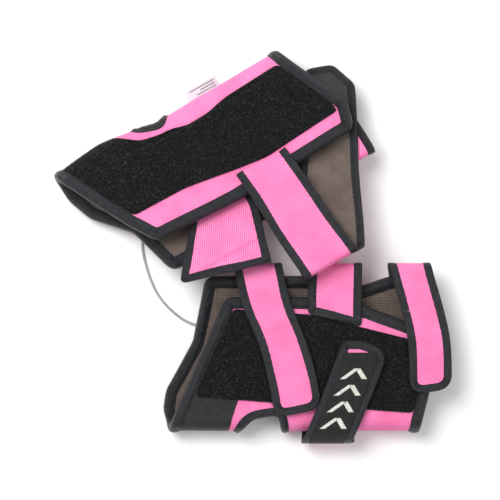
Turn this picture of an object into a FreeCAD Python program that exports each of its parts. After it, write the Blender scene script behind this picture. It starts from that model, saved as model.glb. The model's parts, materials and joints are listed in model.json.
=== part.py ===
"""A pair of gymnastics wrist support braces, tied together by a plastic loop as they are sold.

Each brace is one padded wrap, folded in half along its thumb side. Its lower half (the back) lies
under its upper half (the front), and they part along the slit on the other side. The hand goes in at
one end, the forearm at the other, and the thumb through a notch in the fold. Three bound straps close
the slit. The right brace lies closed. The left brace lies over its edge, with its straps tucked in.

Each brace has its own frame: u runs from the hand end to the forearm end, v from the fold to the slit,
and w up from the surface that the brace lies on. Sizes are millimetres.
"""
import FreeCAD
import Part
import math
import os

from FreeCAD import Vector

# ---------------------------------------------------------------- driving dimensions

COVER_T = 0.6            # woven outer cover
FOAM_T = 3.3             # foam core
LINING_T = 0.6           # mesh lining
BINDING_T = 1.6          # folded binding tape, on each side of a wrap's edge
BINDING_W = 6.3          # how far the tape reaches in from the edge
PILE_T = 1.6             # loop pile of the closing patch
STRAP_T = 1.5            # a strap with its own thin edge tape
TAPE_T = 0.3             # the strap's edge tape, on each side
TAPE_W = 5.6
HOOK_T = 1.3             # hook patch under a strap's tail
SPLINT_T = 1.5           # plastic stay inside the front's foam
SPLINT_LENGTH = 116.0
SPLINT_WIDTH = 40.0
BADGE_T = 0.8            # woven badge on the centre strap
FOLD_R = 11.0            # outside radius of the fold
LOOP_D = 1.8             # plastic loop that ties the pair
LOCK_SIZE = (8.0, 5.0, 3.4)
LABEL_T = 0.4
LABEL_SPAN = (112.0, 137.0)    # the label's reach along the fold
LABEL_OUT = 10.0         # how far the label shows beyond the fold

LAMINATE_T = COVER_T + FOAM_T + LINING_T
TOUCH = 0.1              # between a strap and what it lies against on its own body
LIFT = 0.3               # between pieces that part when something moves
HINGE_GAP = 0.3          # between the two halves of a living hinge
UNDER = STRAP_T + TOUCH  # the room under a wrap for its centre strap
CROWN = UNDER + 2 * FOLD_R + HINGE_GAP   # height of the front's outside
PIVOT_W = (UNDER + CROWN) / 2            # the fold's middle height
REACH = 300.0            # longer than any wrap, for cutting tools
TALL = 90.0

# ---------------------------------------------------------------- outlines, in each brace's (u, v)

BAND_EDGE = [(-40, -20), (54, -20), (54, 22), (-40, 27)]
STAY_CENTRE = (116, 46)


class Brace:
    """One brace's own sizes, and where it lies."""

    def __init__(self, name, mirrored, origin, turn, tilt, **shape):
        self.name = name
        self.mirrored = mirrored
        self.origin = origin
        self.turn = turn
        self.tilt = tilt
        for key, value in shape.items():
            setattr(self, key, value)

    def place(self, solid):
        """The solid moved from the brace's frame to the pair's frame."""
        if self.mirrored:
            solid = solid.mirror(Vector(0, 0, 0), Vector(0, 1, 0))
        moved = solid.copy()
        moved.rotate(Vector(0, 0, 0), Vector(1, 0, 0), -self.tilt)
        moved.rotate(Vector(0, 0, 0), Vector(0, 0, 1), self.turn)
        moved.translate(Vector(*self.origin))
        return moved


LEFT_TILT = 11.0
LEFT_TILT_SIN = math.sin(math.radians(LEFT_TILT))
LEFT_TILT_COS = math.cos(math.radians(LEFT_TILT))
LEFT_DROP = FOLD_R * LEFT_TILT_SIN + (UNDER + FOLD_R) * LEFT_TILT_COS - FOLD_R - BINDING_T

RIGHT = Brace(
    "right", False, (-61.0, -127.4, 0.0), 0.0, 0.0,
    curl_start=40.0, curl_radius=170.0, curl_angle=22.5,
    notch=[(90, -20), (82, 14), (63, 11), (17, -20)],
    front=[(5, -20), (5, 2), (45, 93), (124, 93), (187, 70), (185, 29), (178, 2), (178, -20)],
    back=[(5, -20), (5, 2), (1, 15), (3, 28), (22, 62), (31, 107), (100, 107), (134, 98),
          (160, 107), (191, 107), (188, 60), (178, 2), (178, -20)],
    pile=[(10, 26), (185, 13), (200, 40), (186, 62), (104, 82.5), (30, 88)],
)
LEFT = Brace(
    "left", True, (-139.3, 47.3, -LEFT_DROP), 29.4, LEFT_TILT,
    curl_start=40.0, curl_radius=400.0, curl_angle=9.0,
    notch=[(97, -20), (90, 7), (70, 5), (30, -20)],
    front=[(4, -20), (4, 2), (34, 58), (46, 77), (107, 80), (201, 76), (206, 58), (181, 2), (181, -20)],
    back=[(4, -20), (4, 2), (5, 18), (12, 36), (34, 60), (45, 98), (150, 98), (164, 84), (199, 84), (200, 60),
          (181, 2), (181, -20)],
    pile=[(-20, 1), (48, 1), (88, 12), (104, 17), (118, 17), (136, 13), (190, 11), (230, 50), (199, 61),
          (140, 65), (116, 62), (80, 56), (20, 55)],
)

# ---------------------------------------------------------------- flat shapes


def left_of(a, b):
    """Unit direction from a to b, and the unit normal on its left."""
    length = math.hypot(b[0] - a[0], b[1] - a[1])
    along = ((b[0] - a[0]) / length, (b[1] - a[1]) / length)
    return along, (-along[1], along[0])


def corner(before, at, after, radius, shift):
    """The points that a rounded corner adds to a path moved by shift to its left: one, or an arc's three."""
    t1, n1 = left_of(before, at)
    t2, n2 = left_of(at, after)
    cross = t1[0] * t2[1] - t1[1] * t2[0]
    dot = t1[0] * t2[0] + t1[1] * t2[1]
    side = 1 if cross > 0 else -1
    reach = shift - side * radius
    if radius == 0 or side * reach >= -0.02:
        k = shift / (1 + dot)
        return [(at[0] + k * (n1[0] + n2[0]), at[1] + k * (n1[1] + n2[1]))]
    back = radius * math.tan(math.acos(max(-1, min(1, dot))) / 2)
    centre = (at[0] - back * t1[0] + side * radius * n1[0], at[1] - back * t1[1] + side * radius * n1[1])
    half = math.hypot(n1[0] + n2[0], n1[1] + n2[1])
    middle = ((n1[0] + n2[0]) / half, (n1[1] + n2[1]) / half)
    return [(centre[0] + reach * n[0], centre[1] + reach * n[1]) for n in (n1, middle, n2)]


def edges_of(stops, to_3d):
    """Straight edges between stops, and an arc through each stop of three points."""
    found = []
    last = None
    for stop in stops:
        spots = [to_3d(p) for p in stop]
        if last is not None and (spots[0] - last).Length > 1e-6:
            found.append(Part.LineSegment(last, spots[0]).toShape())
        if len(spots) == 3:
            found.append(Part.Arc(*spots).toShape())
        last = spots[-1]
    return found


def path_stops(points, radii, shift):
    """The stops of an open path with rounded corners, moved by shift to its left."""
    first = left_of(points[0], points[1])[1]
    last = left_of(points[-2], points[-1])[1]
    stops = [[(points[0][0] + shift * first[0], points[0][1] + shift * first[1])]]
    for i in range(1, len(points) - 1):
        stops.append(corner(points[i - 1], points[i], points[i + 1], radii[i - 1], shift))
    stops.append([(points[-1][0] + shift * last[0], points[-1][1] + shift * last[1])])
    return stops


def layer(points, radii, low, high, start=-40.0, length=REACH):
    """A bent sheet: the strip between two shifts of a path in (v, w), run along u."""
    outward = path_stops(points, radii, low)
    inward = [stop[::-1] for stop in path_stops(points, radii, high)[::-1]]
    edges = edges_of(outward + inward + outward[:1], lambda p: Vector(start, p[0], p[1]))
    return Part.Face(Part.Wire(edges)).extrude(Vector(length, 0, 0))


def prism(points, radius=0.0, inset=0.0, low=-10.0, high=TALL):
    """An upright block on an outline in (u, v), with rounded corners, drawn in by inset."""
    turned = sum(a[0] * b[1] - b[0] * a[1] for a, b in zip(points, points[1:] + points[:1]))
    ring = points if turned > 0 else points[::-1]
    stops = []
    for i, at in enumerate(ring):
        stops.append(corner(ring[i - 1], at, ring[(i + 1) % len(ring)], radius, inset))
    edges = edges_of(stops + [stops[0][:1]], lambda p: Vector(p[0], p[1], low))
    return Part.Face(Part.Wire(edges)).extrude(Vector(0, 0, high - low))


def strip(start, end, width, tip=0.0, root=0.0):
    """The outline of a strap that runs between two points, drawn out past each by tip and root."""
    along, side = left_of(start, end)
    first = (start[0] - root * along[0], start[1] - root * along[1])
    last = (end[0] + tip * along[0], end[1] + tip * along[1])
    across = (width / 2 * side[0], width / 2 * side[1])
    corners = [(first, 1), (first, -1), (last, -1), (last, 1)]
    return [(at[0] + sign * across[0], at[1] + sign * across[1]) for at, sign in corners]


# ---------------------------------------------------------------- the wrap of one brace


def curl_height(brace, v):
    """How far the back's outside stands above the surface at v."""
    run = max(0.0, v - brace.curl_start)
    end = brace.curl_radius * math.sin(math.radians(brace.curl_angle))
    on_arc = min(run, end)
    rise = brace.curl_radius - math.sqrt(brace.curl_radius ** 2 - on_arc ** 2)
    return UNDER + rise + (run - on_arc) * math.tan(math.radians(brace.curl_angle))


def curl_corner(brace):
    """The corner that the back's curl rounds, and a point far along its end."""
    at = brace.curl_start + brace.curl_radius * math.tan(math.radians(brace.curl_angle / 2))
    far = 135.0
    return (at, UNDER), (far, UNDER + (far - at) * math.tan(math.radians(brace.curl_angle)))


def front_path():
    """The front's outside, from the slit side to the fold's middle."""
    return [(120.0, CROWN), (0.0, CROWN), (0.0, PIVOT_W + HINGE_GAP / 2)], [FOLD_R]


def back_path(brace):
    """The back's outside, from the fold's middle to the slit side."""
    bend, end = curl_corner(brace)
    return [(0.0, PIVOT_W - HINGE_GAP / 2), (0.0, UNDER), bend, end], [FOLD_R, brace.curl_radius]


def wrap_half(brace, half, path, outline):
    """The cover, hand band, foam, lining and edge binding of one half of the wrap."""
    cut = prism(outline, 6.0).cut(prism(brace.notch, 5.0))
    band = prism(BAND_EDGE)
    skin = layer(*path, 0, COVER_T).common(cut)
    grown = prism(outline, 6.0, -BINDING_T).cut(prism(brace.notch, 5.0, BINDING_T))
    kept = prism(outline, 6.0, BINDING_W).cut(prism(brace.notch, 5.0, -BINDING_W))
    tape = layer(*path, -BINDING_T, LAMINATE_T + BINDING_T).common(grown).cut(kept)
    return {
        f"{brace.name}_{half}_cover": skin.cut(band),
        f"{brace.name}_{half}_hand_band": skin.common(band),
        f"{brace.name}_{half}_foam": layer(*path, COVER_T, COVER_T + FOAM_T).common(cut),
        f"{brace.name}_{half}_lining": layer(*path, COVER_T + FOAM_T, LAMINATE_T).common(cut),
        f"{brace.name}_{half}_binding": tape.cut(layer(*path, 0, LAMINATE_T).common(cut)),
    }


def stay(path):
    """The plastic stay that stiffens the front, and the pocket for it in the foam."""
    u, v = STAY_CENTRE
    a, b = SPLINT_LENGTH / 2, SPLINT_WIDTH / 2
    outline = [(u - a, v - b), (u + a, v - b), (u + a, v + b), (u - a, v + b)]
    depth = COVER_T + (FOAM_T - SPLINT_T) / 2
    return layer(*path, depth, depth + SPLINT_T).common(prism(outline, 12.0))


def wrap(brace):
    """Every piece of a brace's folded wrap."""
    made = wrap_half(brace, "front", front_path(), brace.front)
    made.update(wrap_half(brace, "back", back_path(brace), brace.back))
    splint = stay(front_path())
    made[f"{brace.name}_front_foam"] = made[f"{brace.name}_front_foam"].cut(splint)
    made[f"{brace.name}_splint"] = splint
    inside = prism(brace.front, 6.0, BINDING_W + TOUCH).cut(prism(brace.notch, 5.0, -BINDING_W - TOUCH))
    pile = layer(*front_path(), -PILE_T, 0).common(inside).common(prism(brace.pile, 3.0))
    made[f"{brace.name}_pile_patch"] = pile
    return made


# ---------------------------------------------------------------- straps

SLIT_V = 107.0                                             # slit edge of the right back, where straps grow
ABOVE_FRONT = prism([(-99, -99), (300, -99), (300, 300), (-99, 300)], low=PIVOT_W)

def strap_piece(name, path, outline, radius=4.0, spin=(0, 0, 0)):
    """A strap's webbing and its edge tape, along a path whose left side faces the brace."""
    u, v, degrees = spin
    low, high = -TOUCH - STRAP_T, -TOUCH

    def bent(a, b):
        sheet = layer(*path, a, b)
        return sheet.rotate(Vector(u, v, 0), Vector(0, 0, 1), degrees) if degrees else sheet

    whole = prism(outline, radius)
    core = bent(low + TAPE_T, high - TAPE_T).common(prism(outline, radius, TAPE_T))
    tape = bent(low, high).common(whole).cut(prism(outline, radius, TAPE_W))
    return {name: core, f"{name}_tape": tape.cut(core)}


def hook_patch(path, outline, area, radius=4.0, spin=(0, 0, 0)):
    """The hook patch on the inner side of a strap's tail, between the edge tapes."""
    u, v, degrees = spin
    sheet = layer(*path, -TOUCH - TAPE_T, HOOK_T - TOUCH - TAPE_T)
    if degrees:
        sheet = sheet.rotate(Vector(u, v, 0), Vector(0, 0, 1), degrees)
    return sheet.common(prism(outline, radius, TAPE_W + TOUCH)).common(prism(area))


TAIL_W = CROWN + PILE_T + LIFT + HOOK_T - TOUCH - TAPE_T   # inner side of a tail closed over the pile
BEND_R = 2.8                                               # inside radius where a strap turns back


def closed_strap(name, line, width, hinge, hook_from):
    """A strap that grows out of the back's slit edge, turns back over the front and closes on the pile."""
    tip_v = line[1][1] - 20.0
    root_v = SLIT_V + BINDING_T
    root_w = curl_height(RIGHT, root_v) + UNDER
    if hinge == "bend":
        bend_end = TAIL_W - BEND_R
        root = [(root_v, root_w), (TURN_V, root_w), (TURN_V, bend_end - HINGE_GAP)], [BEND_R]
        tail = [(TURN_V, bend_end), (TURN_V, TAIL_W), (tip_v, TAIL_W)], [BEND_R]
    else:
        crest = TAIL_W - CREST_DROP
        root = [(root_v, root_w), (TURN_V, root_w), (TURN_V, crest), (hinge, TAIL_W)], [BEND_R, BEND_R]
        tail = [(hinge - HINGE_GAP, TAIL_W), (tip_v, TAIL_W)], []
    outline = strip(*line, width, 0.0, 30.0)
    made = strap_piece(f"right_{name}_strap", root, outline)
    made.update(strap_piece(f"right_{name}_tail", tail, outline, TIP_R))
    area = strip(*line, width, 10.0, -hook_from)
    made[f"right_{name}_hook"] = hook_patch(tail, outline, area, TIP_R)
    return made


WRIST_HINGE_V = 99.0
CREST_DROP = 3.2         # how far the wrist strap's bend lies below its tail, under the left brace
TURN_V = 117.0
STRAP_WIDTH = 37.0       # the centre strap
WRIST_WIDTH = 33.0
FOREARM_WIDTH = 29.0
BADGE_WIDTH = 32.0
TIP_R = 9.0
WRIST_LINE = (71, 119), (92, 14)         # each strap's middle line, from its bend to its tip
FOREARM_LINE = (174.5, 119), (187, 29)
CENTRE_LINE = (121, 119), (115.5, -12)
BADGE_LINE = (112.5, -12), (143, 63)
CENTRE_OUT_V = -6.5
CENTRE_R = 11.0
CENTRE_STEP_V = 80.0      # where it comes down off the front's binding
CENTRE_SEAM_V = 60.0      # where it is sewn down
CENTRE_TIP_V = 64.0


def right_centre_strap():
    """The centre strap: sewn beside the pile, round the slit side, under the back, and up to its badge."""
    clear = BINDING_T + 2 * LIFT
    lean = math.radians(RIGHT.curl_angle)
    bend = (curl_corner(RIGHT)[0][0] + clear / math.sin(lean), UNDER)
    over = CROWN + BINDING_T
    low = curl_height(RIGHT, TURN_V) - clear / math.cos(lean)
    split = UNDER + (TAIL_W - UNDER) / 2
    root = [(CENTRE_OUT_V, split), (CENTRE_OUT_V, UNDER), bend, (TURN_V, low), (TURN_V, over)]
    root += [(CENTRE_STEP_V, over), (CENTRE_STEP_V - 3.5, CROWN), (CENTRE_SEAM_V, CROWN)]
    tail = [(CENTRE_TIP_V, TAIL_W), (CENTRE_OUT_V, TAIL_W), (CENTRE_OUT_V, split + HINGE_GAP)]
    radii = [CENTRE_R, RIGHT.curl_radius, BEND_R, BEND_R, 1.0, 2.0]
    under_pile = prism(RIGHT.pile, 3.0, -TOUCH)
    whole = strip(*CENTRE_LINE, STRAP_WIDTH, 30.0, 30.0)
    made = strap_piece("right_centre_strap", (root, radii), whole)
    made = {name: piece.cut(under_pile.common(ABOVE_FRONT)) for name, piece in made.items()}
    outline = strip(*BADGE_LINE, BADGE_WIDTH, 0.0, 30.0)
    made.update(strap_piece("right_centre_tail", (tail, [CENTRE_R]), outline, TIP_R))
    face = layer(tail, [CENTRE_R], TAPE_T - TOUCH - STRAP_T - BADGE_T, TAPE_T - TOUCH - STRAP_T)
    badge = strip(*BADGE_LINE, BADGE_WIDTH, 0.0, -12.0)
    made["right_badge"] = face.common(prism(badge, TIP_R, TAPE_W + TOUCH))
    area = strip(*BADGE_LINE, BADGE_WIDTH, 10.0, -42.0)
    made["right_centre_hook"] = hook_patch((tail, [CENTRE_R]), outline, area, TIP_R)
    return made


def right_straps():
    """The three straps of the closed brace."""
    made = closed_strap("wrist", WRIST_LINE, WRIST_WIDTH, WRIST_HINGE_V, 56.0)
    made.update(closed_strap("forearm", FOREARM_LINE, FOREARM_WIDTH, "bend", 54.0))
    made.update(right_centre_strap())
    return made


# The left brace's straps are folded over and tucked between its front and back. A tuck gives the
# heights of a strap's bends from the middle of the fold, from its fold on.
LEFT_WRIST_FOLD = (76.0, 118.0, 16.0)     # a point on the fold line, and how far the line is turned
LEFT_WRIST_TUCK = (1.85, -1.55)
LEFT_WRIST_ROOT = [(52, 99.6), (97, 99.6), (107, 140), (47, 140)]
LEFT_WRIST_TAIL = [(38, 135), (47, 108), (84, 60), (119, 64), (118, 90), (106, 135)]
LEFT_WRIST_HOOK = [(70, 86), (84, 60), (119, 64), (118, 82)]
LEFT_FOREARM_EDGE_V = 84.0                # the back's slit edge at the forearm strap
LEFT_FOREARM_REACH = 8.9
LEFT_FOREARM = [(170, 110), (170, 40), (205, 40), (208, 90), (208, 110)]
LEFT_FOREARM_HOOK = [(170, 68), (170, 40), (205, 40), (206, 68)]
LEFT_CENTRE_SEAM_V = 66.0
LEFT_CENTRE_SLIT_V = 88.0
LEFT_CENTRE_FOLD_V = 150.0
LEFT_CENTRE_TUCK = (1.85, -0.65, -4.55, 1.25, 1.65)
LEFT_CENTRE = [(115, 55), (153, 55), (163, 160), (121, 160)]
LEFT_CENTRE_RETURN = [(119, 160), (163, 160), (219, 48), (213, 28), (194, 21), (120, 141)]
LEFT_CENTRE_HOOK = [(178, 60), (194, 21), (213, 28), (219, 48), (207, 76)]


def left_wrist_strap():
    """The wrist strap, folded back over the slit and tucked under the front's edge."""
    u, v, turn = LEFT_WRIST_FOLD
    root_w = curl_height(LEFT, 100.0) + LAMINATE_T / 2 + STRAP_T / 2
    top_w = root_w + 2 * BEND_R + STRAP_T + HINGE_GAP
    split = (root_w + top_w) / 2
    high, low = (PIVOT_W + rise for rise in LEFT_WRIST_TUCK)
    root = [(v - 30, root_w), (v, root_w), (v, split)], [BEND_R]
    tail = [(v, split + HINGE_GAP), (v, top_w), (v - 22, high), (v - 90, low)], [BEND_R, 30.0]
    made = strap_piece("left_wrist_strap", root, LEFT_WRIST_ROOT, 0.0, LEFT_WRIST_FOLD)
    made.update(strap_piece("left_wrist_tail", tail, LEFT_WRIST_TAIL, 4.0, LEFT_WRIST_FOLD))
    made["left_wrist_hook"] = hook_patch(tail, LEFT_WRIST_TAIL, LEFT_WRIST_HOOK, 4.0, LEFT_WRIST_FOLD)
    return made


def left_forearm_strap():
    """The forearm strap, folded back at once over the slit edge and tucked in."""
    root_v = LEFT_FOREARM_EDGE_V + BINDING_T
    fold_v = root_v + LEFT_FOREARM_REACH
    root_w = curl_height(LEFT, root_v) + UNDER
    top_w = root_w + 3 * STRAP_T
    split = (root_w + top_w) / 2
    root = [(root_v, root_w), (fold_v, root_w), (fold_v, split)], [2.0]
    tail = [(fold_v, split + HINGE_GAP), (fold_v, top_w), (78.0, top_w), (30.0, top_w - 2.0)], [1.8, 20.0]
    made = strap_piece("left_forearm_strap", root, LEFT_FOREARM)
    made.update(strap_piece("left_forearm_tail", tail, LEFT_FOREARM))
    made["left_forearm_hook"] = hook_patch(tail, LEFT_FOREARM, LEFT_FOREARM_HOOK)
    return made


def left_centre_strap():
    """The centre strap, hanging over the slit edge, folded, and lying back between front and back."""
    over = CROWN + PILE_T
    fold_v = LEFT_CENTRE_FOLD_V
    top, split, bottom, inner, tip = (PIVOT_W + rise for rise in LEFT_CENTRE_TUCK)
    upper = [(LEFT_CENTRE_SEAM_V, over), (LEFT_CENTRE_SLIT_V, over), (fold_v, top), (fold_v, split)]
    lower = [(fold_v, split - HINGE_GAP), (fold_v, bottom), (104.0, inner), (10.0, tip)]
    made = strap_piece("left_centre_strap", (upper[::-1], [BEND_R, 24.0]), LEFT_CENTRE)
    path = lower[::-1], [60.0, BEND_R]
    made.update(strap_piece("left_centre_tail", path, LEFT_CENTRE_RETURN))
    made["left_centre_hook"] = hook_patch(path, LEFT_CENTRE_RETURN, LEFT_CENTRE_HOOK)
    return made


def left_straps():
    """The three straps of the open brace."""
    made = left_wrist_strap()
    made.update(left_forearm_strap())
    made.update(left_centre_strap())
    return made


# ---------------------------------------------------------------- label and plastic loop

LOOP_ROUTE = [(-41, 32), (-20, 32), (1, 20), (14, 1), (15, -20), (4, -40), (-15, -53), (-39.9, -55),
              (-59.5, -40.6), (-70, -24.5), (-78, 4), (-73, 22), (-61, 32), (-49, 32)]


def label():
    """The sewn-in label: flat under the left brace's fold, then out along the table."""
    out = math.tan(math.radians(LEFT.tilt)) * (LABEL_OUT + 7.0)
    path = [(-LABEL_OUT, UNDER + out), (7.0, UNDER), (26.0, UNDER)]
    start, end = LABEL_SPAN
    return layer(path, [4.0], -LABEL_T, 0.0, start, end - start)


def tube(points, diameter, height):
    """A cord lying flat: straight runs joined by arcs as large as the runs allow."""
    flat = [Vector(x, y, height) for x, y in points]
    edges = []
    last = flat[0]
    for before, at, after in zip(flat, flat[1:], flat[2:]):
        into, out = at - before, after - at
        back = 0.45 * min(into.Length, out.Length)
        turn = into.getAngle(out)
        radius = back / math.tan(turn / 2)
        start, end = at - into * (back / into.Length), at + out * (back / out.Length)
        inward = (start + end) * 0.5 - at
        middle = at + inward * ((radius / math.cos(turn / 2) - radius) / inward.Length)
        edges += [Part.LineSegment(last, start).toShape(), Part.Arc(start, middle, end).toShape()]
        last = end
    edges.append(Part.LineSegment(last, flat[-1]).toShape())
    spine = Part.Wire(edges)
    ring = Part.Wire(Part.Circle(flat[0], flat[1] - flat[0], diameter / 2).toShape())
    cord = spine.makePipeShell([ring], True, False)
    print("loop", round(cord.Volume / (math.pi * diameter ** 2 / 4 * spine.Length), 4), round(spine.Length, 1))
    return cord


def lock():
    """The block that holds the loop's two ends."""
    first, last = LOOP_ROUTE[0], LOOP_ROUTE[-1]
    length = first[0] - last[0]
    corner_at = Vector(last[0], last[1] - LOCK_SIZE[1] / 2, 0)
    return Part.makeBox(length, LOCK_SIZE[1], LOCK_SIZE[2], corner_at)


# ---------------------------------------------------------------- build


def main():
    os.makedirs("parts", exist_ok=True)
    nodes = {}
    for brace, straps in ((RIGHT, right_straps), (LEFT, left_straps)):
        made = wrap(brace)
        made.update(straps())
        nodes.update({name: brace.place(solid) for name, solid in made.items()})
    nodes["size_label"] = LEFT.place(label())
    nodes["tie_lock"] = lock()
    box = Part.makeCompound(list(nodes.values())).optimalBoundingBox(False)     # the loop lies inside it
    nodes["tie_loop"] = tube(LOOP_ROUTE, LOOP_D, LOOP_D / 2)
    middle = Vector((box.XMin + box.XMax) / 2, (box.YMin + box.YMax) / 2, box.ZMin)
    print("middle", [round(x, 3) for x in middle])
    print("box", [round(x, 3) for x in (box.XLength, box.YLength, box.ZLength)])
    for name, solid in nodes.items():
        solid.translate(-middle)
        solid.exportStep(f"parts/{name}.step")
    return middle


if __name__ == "__main__":
    main()
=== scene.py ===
import heapq
import itertools
import json
import math

import bmesh
import bpy
import numpy as np
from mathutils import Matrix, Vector


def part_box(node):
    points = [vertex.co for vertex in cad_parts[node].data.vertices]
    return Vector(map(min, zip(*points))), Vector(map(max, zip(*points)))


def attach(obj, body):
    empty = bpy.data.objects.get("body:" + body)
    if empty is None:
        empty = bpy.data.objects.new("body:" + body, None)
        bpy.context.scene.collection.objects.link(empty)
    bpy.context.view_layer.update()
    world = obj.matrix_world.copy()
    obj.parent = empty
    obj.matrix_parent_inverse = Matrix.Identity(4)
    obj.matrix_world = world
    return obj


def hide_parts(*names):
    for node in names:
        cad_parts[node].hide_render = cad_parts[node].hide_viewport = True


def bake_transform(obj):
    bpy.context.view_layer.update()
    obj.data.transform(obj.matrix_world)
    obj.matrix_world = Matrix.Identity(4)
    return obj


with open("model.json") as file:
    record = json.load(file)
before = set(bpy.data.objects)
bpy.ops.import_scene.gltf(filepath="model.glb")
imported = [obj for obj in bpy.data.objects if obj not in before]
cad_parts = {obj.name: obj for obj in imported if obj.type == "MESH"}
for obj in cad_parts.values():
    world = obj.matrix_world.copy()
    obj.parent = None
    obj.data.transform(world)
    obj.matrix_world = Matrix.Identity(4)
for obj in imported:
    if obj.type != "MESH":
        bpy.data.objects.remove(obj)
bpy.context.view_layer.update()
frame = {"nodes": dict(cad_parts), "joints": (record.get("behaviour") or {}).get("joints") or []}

MM = 0.001
NODES = frame["nodes"]
JOINTS = {joint["name"]: joint for joint in frame["joints"]}

# ---- camera and plastic loop, made first

VIEW_WIDTH = 0.350
CAMERA_HEIGHT = 1.25
CAMERA_LEVEL = 0.018  # the height above the floor at which the view is VIEW_WIDTH wide

LOOP_DIAMETER = 1.8 * MM
LOCK_CORNER = Vector((-49.0, 29.5)) * MM  # the lock's lowest corner, in the route's own frame
LOOP_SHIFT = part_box("tie_lock")[0].xy - LOCK_CORNER
VIEW_CENTRE = LOOP_SHIFT.to_3d()
LOOP_ROUTE = [(-41, 32), (-20, 32), (1, 20), (14, 1), (15, -20), (4, -40), (-15, -53), (-39.9, -55),
              (-59.5, -40.6), (-70, -24.5), (-78, 4), (-73, 22), (-61, 32), (-49, 32)]


def placed(name, data):
    """A new object in the scene."""
    made = bpy.data.objects.new(name, data)
    bpy.context.scene.collection.objects.link(made)
    return made


def add_camera():
    data = bpy.data.cameras.new("Camera")
    data.lens = data.sensor_width * (CAMERA_HEIGHT - CAMERA_LEVEL) / VIEW_WIDTH
    camera = placed("Camera", data)
    camera.location = VIEW_CENTRE + Vector((0, 0, CAMERA_HEIGHT))
    bpy.context.scene.camera = camera


def add_loop():
    """The plastic thread loop: a free cord of one smooth line, whose ends meet in the lock."""
    curve = bpy.data.curves.new("tie_thread_line", "CURVE")
    curve.dimensions = "3D"
    curve.resolution_u = 12
    spline = curve.splines.new("NURBS")
    spline.points.add(len(LOOP_ROUTE) - 1)
    for point, (x, y) in zip(spline.points, LOOP_ROUTE):
        point.co = (x * MM + LOOP_SHIFT.x, y * MM + LOOP_SHIFT.y, LOOP_DIAMETER / 2, 1)
    spline.order_u = 3
    spline.use_endpoint_u = True
    line = placed("tie_thread_line", curve)
    path = [vertex.co.copy() for vertex in solid_of(line).vertices]
    curve.bevel_depth = LOOP_DIAMETER / 2
    curve.bevel_resolution = 6
    curve.use_fill_caps = True
    made = placed("tie_thread", solid_of(line))
    bpy.data.objects.remove(line)
    made.data.shade_smooth()
    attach(made, "braces")
    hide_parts("tie_loop")
    return made


def solid_of(line):
    """The mesh that a curve object makes."""
    bpy.context.view_layer.update()
    return bpy.data.meshes.new_from_object(line.evaluated_get(bpy.context.evaluated_depsgraph_get()))


add_camera()
thread = add_loop()

# ---- materials


class Value:
    """A shader socket that does arithmetic."""

    def __init__(self, shader, socket):
        self.shader = shader
        self.socket = socket

    def math(self, operation, *others):
        return self.shader.add("ShaderNodeMath", {"operation": operation}, dict(enumerate((self, *others))))

    def __add__(self, other):
        return self.math("ADD", other)

    def __mul__(self, other):
        return self.math("MULTIPLY", other)

    def __sub__(self, other):
        return self.math("SUBTRACT", other)

    def __rsub__(self, other):
        return self.shader.add("ShaderNodeMath", {"operation": "SUBTRACT"}, {0: other, 1: self})

    __radd__ = __add__
    __rmul__ = __mul__

    def sine(self):
        return self.math("SINE")

    def size(self):
        return self.math("ABSOLUTE")

    def power(self, exponent):
        return self.math("POWER", exponent)

    def waves(self, spacing):
        """A wave from 0 to 1 that comes back every spacing."""
        return (self * (2 * math.pi / spacing)).sine() * 0.5 + 0.5

    def between(self, low, high):
        """0 at or below low, 1 at or above high, and smooth between."""
        return self.shader.add("ShaderNodeMapRange", {"interpolation_type": "SMOOTHSTEP"},
                               {"Value": self, "From Min": low, "From Max": high})


class Shader:
    """One material and its nodes."""

    def __init__(self, name):
        self.material = bpy.data.materials.new(name)
        self.material.use_nodes = True
        self.tree = self.material.node_tree
        self.surface = self.tree.nodes["Principled BSDF"]

    def add(self, kind, settings=None, inputs=None, output=0):
        node = self.tree.nodes.new(kind)
        for key, value in (settings or {}).items():
            setattr(node, key, value)
        for key, value in (inputs or {}).items():
            self.feed(node.inputs[key], value)
        return Value(self, node.outputs[output])

    def feed(self, socket, value):
        if isinstance(value, Value):
            self.tree.links.new(value.socket, socket)
        else:
            socket.default_value = value

    def set(self, **inputs):
        for key, value in inputs.items():
            self.feed(self.surface.inputs[key.replace("_", " ")], value)

    def cloth(self):
        """Millimetres across and along the cloth, as two values, and the same as a vector."""
        place = self.add("ShaderNodeAttribute", {"attribute_name": "cloth"}, output="Vector")
        return *self.split(place), place

    def split(self, place):
        """The first two parts of a vector."""
        first = self.add("ShaderNodeSeparateXYZ", None, {0: place})
        return first, Value(self, first.socket.node.outputs[1])

    def noise(self, place, scale, detail=2.0, rough=0.5):
        return self.add("ShaderNodeTexNoise", None,
                        {"Vector": place, "Scale": scale, "Detail": detail, "Roughness": rough})

    def mix(self, share, first, second):
        return self.add("ShaderNodeMix", {"data_type": "RGBA"}, {"Factor": share, 6: first, 7: second}, 2)

    def bump(self, height, distance, strength=1.0):
        self.set(Normal=self.add("ShaderNodeBump", None,
                                 {"Height": height, "Distance": distance, "Strength": strength}))


def colour(red, green, blue):
    return (red, green, blue, 1.0)


def toned(shade, share):
    """A shade made lighter or darker."""
    return colour(*(share * part for part in shade))


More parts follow.
